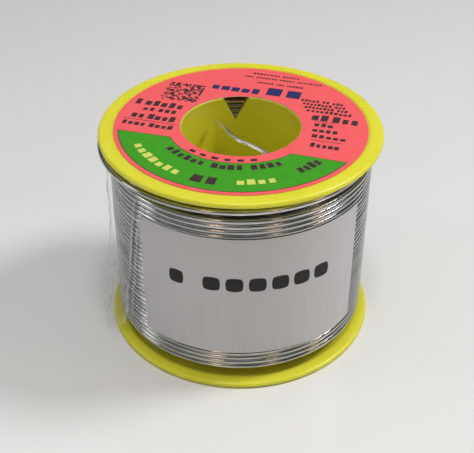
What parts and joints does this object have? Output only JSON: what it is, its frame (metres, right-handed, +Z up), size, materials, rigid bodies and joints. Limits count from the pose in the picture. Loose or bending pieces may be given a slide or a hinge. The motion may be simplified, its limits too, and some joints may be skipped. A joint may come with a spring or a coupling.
{
  "type": "solder wire spool",
  "caption": "Small flanged plastic spool, wound full of bright flux-cored solder wire, with a ring label, a paper label on the winding and clear tape.",
  "frame": {"origin": "centre of the spindle bore at the plane that the spool stands on", "axes": "+Z up along the spool's axis, -Y towards the front, where the paper label is"},
  "size_m": [0.0525, 0.05, 0.0398],
  "materials": {
    "spool_plastic": "moulded, semi-gloss",
    "solder_wire": "bright drawn tin alloy",
    "flux": "amber rosin",
    "ring_label_paper": "printed, satin",
    "white_label_paper": "plain, matt",
    "clear_film": "clear adhesive film"
  },
  "bodies": {
    "root": {"lower_half_spool": "spool_plastic", "upper_half_spool": "spool_plastic", "wire_inner_layers": "solder_wire", "wire_outer_layer": "solder_wire", "wire_start_end": "solder_wire", "flux_core": "flux", "flange_label": "ring_label_paper", "winding_label": "white_label_paper", "clear_tape": "clear_film"}
  },
  "joints": []
}
